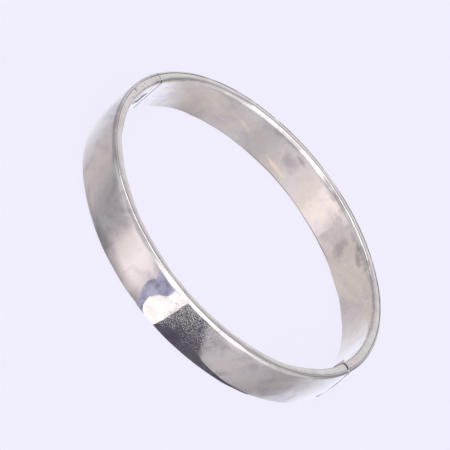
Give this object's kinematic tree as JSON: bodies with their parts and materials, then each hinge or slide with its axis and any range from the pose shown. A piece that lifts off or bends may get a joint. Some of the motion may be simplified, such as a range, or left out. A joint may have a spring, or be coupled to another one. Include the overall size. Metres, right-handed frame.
{
  "type": "bangle bracelet",
  "caption": "Hollow oval bangle bracelet in polished silver, hinged at one end, with a folded tongue that snaps into a window in the inner wall.",
  "frame": {"origin": "centre of the bangle's footprint, on the lower rim that it rests on", "axes": "+Z along the axis of the ring, +X along the long diameter towards the hinge, +Y towards the back half, which opens"},
  "size_m": [0.0648, 0.061, 0.0093],
  "materials": {
    "outer_silver": "polished silver with fine wear scratches",
    "inner_silver": "polished silver, lightly tarnished and wavy",
    "fittings_silver": "satin silver, filed and soldered",
    "tongue_silver": "satin hard-rolled silver",
    "pin_silver": "drawn silver wire"
  },
  "bodies": {
    "front_half": {"front_outer_shell": "outer_silver", "front_inner_channel": "inner_silver", "front_hinge_end_plate": "fittings_silver", "front_clasp_end_plate": "fittings_silver", "front_knuckle_bottom": "fittings_silver", "front_knuckle_middle": "fittings_silver", "front_knuckle_top": "fittings_silver", "hinge_pin": "pin_silver", "hinge_stop_leaf": "fittings_silver"},
    "back_half": {"back_outer_shell": "outer_silver", "back_inner_channel": "inner_silver", "back_hinge_end_plate": "fittings_silver", "back_clasp_end_plate": "fittings_silver", "back_knuckle_lower": "fittings_silver", "back_knuckle_upper": "fittings_silver", "tongue_base_leaf": "tongue_silver"},
    "catch_spring": {"tongue_spring_leaf": "tongue_silver", "release_catch": "tongue_silver"}
  },
  "joints": [
    {"name": "bangle_hinge", "type": "hinge", "parent": "front_half", "child": "back_half", "pos_m": [0.03155, 0, 0], "axis": [0, 0, -1], "range_deg": [0, 65]},
    {"name": "catch_press", "type": "hinge", "parent": "back_half", "child": "catch_spring", "pos_m": [-0.03045, -0.00432, 0], "axis": [0, 0, 1], "range_deg": [0, 9], "stiffness_Nm_per_rad": 0.1}
  ]
}
